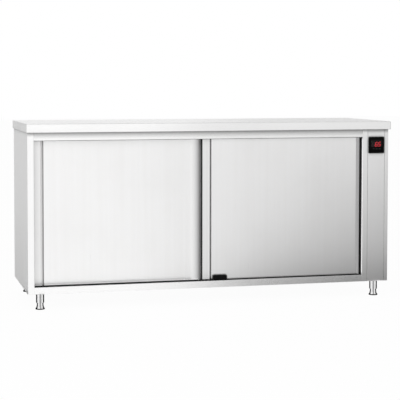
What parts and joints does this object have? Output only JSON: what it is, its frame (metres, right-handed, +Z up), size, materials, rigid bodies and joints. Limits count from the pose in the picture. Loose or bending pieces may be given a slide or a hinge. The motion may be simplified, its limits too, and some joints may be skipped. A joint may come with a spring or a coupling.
{
  "type": "plate warmer cabinet",
  "caption": "Long stainless heated plate cabinet with a worktop, overlapping sliding doors, a control column with a digital thermostat and levelling feet.",
  "frame": {"origin": "on the floor under the middle of the worktop", "axes": "+X to the right along the front, +Y to the back, +Z up; the front faces -Y"},
  "size_m": [1.8, 0.6, 0.87],
  "materials": {
    "worktop_steel": "fine brushed stainless steel, grain along the length",
    "body_steel": "brushed stainless steel, grain upright",
    "door_steel": "brushed stainless steel, grain upright",
    "liner_steel": "plain stainless steel sheet",
    "leg_steel": "ground stainless tube",
    "foot_steel": "turned and polished steel with a dark rim",
    "hanger_steel": "zinc-plated steel",
    "screw_steel": "plain steel screw heads",
    "heater_sheath": "dull stainless sheath, heat-tinted",
    "galvanised_sheet": "galvanised steel sheet",
    "track_aluminium": "extruded aluminium, mill finish",
    "wheel_aluminium": "pressed aluminium",
    "motor_metal": "dark lacquered motor body",
    "mineral_wool": "pressed mineral wool slab",
    "black_nylon": "black nylon, satin",
    "roller_nylon": "white nylon rollers on a steel axle",
    "black_rubber": "black rubber",
    "key_rubber": "dark silicone keys",
    "black_plastic": "black moulded plastic",
    "dark_plastic": "dark moulded plastic with steel tabs",
    "bezel_plastic": "black satin-gloss plastic",
    "red_window": "dark red display filter",
    "terminal_plastic": "ivory plastic"
  },
  "bodies": {
    "cabinet": {"worktop": "worktop_steel", "top_stiffeners": "galvanised_sheet", "left_side_panel": "body_steel", "left_liner": "liner_steel", "right_side_panel": "body_steel", "right_liner": "liner_steel", "partition": "galvanised_sheet", "right_post": "body_steel", "control_panel": "body_steel", "back_panel": "galvanised_sheet", "back_liner": "liner_steel", "mineral_wool": "mineral_wool", "roof_liner": "liner_steel", "cabin_floor": "liner_steel", "base_panel": "galvanised_sheet", "top_rail": "body_steel", "bottom_rail": "body_steel", "top_track": "track_aluminium", "track_stop": "black_rubber", "bottom_track": "black_nylon", "door_guide": "black_nylon", "door_buffers": "black_rubber", "shelf": "liner_steel", "shelf_uprights": "liner_steel", "shelf_bearers": "liner_steel", "leg_tubes": "leg_steel", "fan_casing": "galvanised_sheet", "fan_guard": "liner_steel", "fan_motor": "motor_metal", "ring_heater": "heater_sheath", "temperature_probe": "heater_sheath", "heat_limiter": "dark_plastic", "controller_housing": "black_plastic", "controller_bezel": "bezel_plastic", "display_window": "red_window", "terminal_block": "terminal_plastic", "cable_gland": "black_plastic", "back_screws": "screw_steel"},
    "left_door": {"left_door_skin": "door_steel", "left_door_pull": "door_steel", "left_door_back": "liner_steel", "left_door_core": "mineral_wool", "left_door_hangers": "hanger_steel"},
    "right_door": {"right_door_skin": "door_steel", "right_door_pull": "door_steel", "right_door_back": "liner_steel", "right_door_core": "mineral_wool", "right_door_hangers": "hanger_steel"},
    "left_rollers_a": {"left_door_rollers_a": "roller_nylon"},
    "left_rollers_b": {"left_door_rollers_b": "roller_nylon"},
    "right_rollers_a": {"right_door_rollers_a": "roller_nylon"},
    "right_rollers_b": {"right_door_rollers_b": "roller_nylon"},
    "fan": {"fan_wheel": "wheel_aluminium"},
    "foot_front_left": {"foot_front_left": "foot_steel"},
    "foot_front_right": {"foot_front_right": "foot_steel"},
    "foot_back_left": {"foot_back_left": "foot_steel"},
    "foot_back_right": {"foot_back_right": "foot_steel"},
    "key_set": {"key_set": "key_rubber"},
    "key_up": {"key_up": "key_rubber"},
    "key_down": {"key_down": "key_rubber"}
  },
  "joints": [
    {"name": "right_door_slide", "type": "slide", "parent": "cabinet", "child": "right_door", "axis": [-1, 0, 0], "range_m": [0, 0.681]},
    {"name": "left_door_slide", "type": "slide", "parent": "cabinet", "child": "left_door", "axis": [1, 0, 0], "range_m": [0, 0.675]},
    {"name": "left_rollers_a_turn", "type": "hinge", "parent": "left_door", "child": "left_rollers_a", "pos_m": [-0.769, -0.222, 0.8136], "axis": [0, 1, 0], "continuous": true},
    {"name": "left_rollers_b_turn", "type": "hinge", "parent": "left_door", "child": "left_rollers_b", "pos_m": [-0.01, -0.222, 0.8136], "axis": [0, 1, 0], "continuous": true},
    {"name": "right_rollers_a_turn", "type": "hinge", "parent": "right_door", "child": "right_rollers_a", "pos_m": [0.038, -0.248, 0.8136], "axis": [0, 1, 0], "continuous": true},
    {"name": "right_rollers_b_turn", "type": "hinge", "parent": "right_door", "child": "right_rollers_b", "pos_m": [0.665, -0.248, 0.8136], "axis": [0, 1, 0], "continuous": true},
    {"name": "fan_spin", "type": "hinge", "parent": "cabinet", "child": "fan", "pos_m": [0.835, 0.03, 0.612], "axis": [1, 0, 0], "continuous": true},
    {"name": "foot_front_left_height", "type": "slide", "parent": "cabinet", "child": "foot_front_left", "axis": [0, 0, -1], "range_m": [0, 0.025]},
    {"name": "foot_front_right_height", "type": "slide", "parent": "cabinet", "child": "foot_front_right", "axis": [0, 0, -1], "range_m": [0, 0.025]},
    {"name": "foot_back_left_height", "type": "slide", "parent": "cabinet", "child": "foot_back_left", "axis": [0, 0, -1], "range_m": [0, 0.025]},
    {"name": "foot_back_right_height", "type": "slide", "parent": "cabinet", "child": "foot_back_right", "axis": [0, 0, -1], "range_m": [0, 0.025]},
    {"name": "key_set_press", "type": "slide", "parent": "cabinet", "child": "key_set", "axis": [0, 1, 0], "range_m": [0, 0.0006], "stiffness_N_per_m": 900, "springref_m": -0.0006},
    {"name": "key_up_press", "type": "slide", "parent": "cabinet", "child": "key_up", "axis": [0, 1, 0], "range_m": [0, 0.0006], "stiffness_N_per_m": 900, "springref_m": -0.0006},
    {"name": "key_down_press", "type": "slide", "parent": "cabinet", "child": "key_down", "axis": [0, 1, 0], "range_m": [0, 0.0006], "stiffness_N_per_m": 900, "springref_m": -0.0006}
  ],
  "couplings": [
    {"joint": "left_rollers_a_turn", "follows": "left_door_slide", "rad_per_m": 111.11},
    {"joint": "left_rollers_b_turn", "follows": "left_door_slide", "rad_per_m": 111.11},
    {"joint": "right_rollers_a_turn", "follows": "right_door_slide", "rad_per_m": -111.11},
    {"joint": "right_rollers_b_turn", "follows": "right_door_slide", "rad_per_m": -111.11}
  ]
}
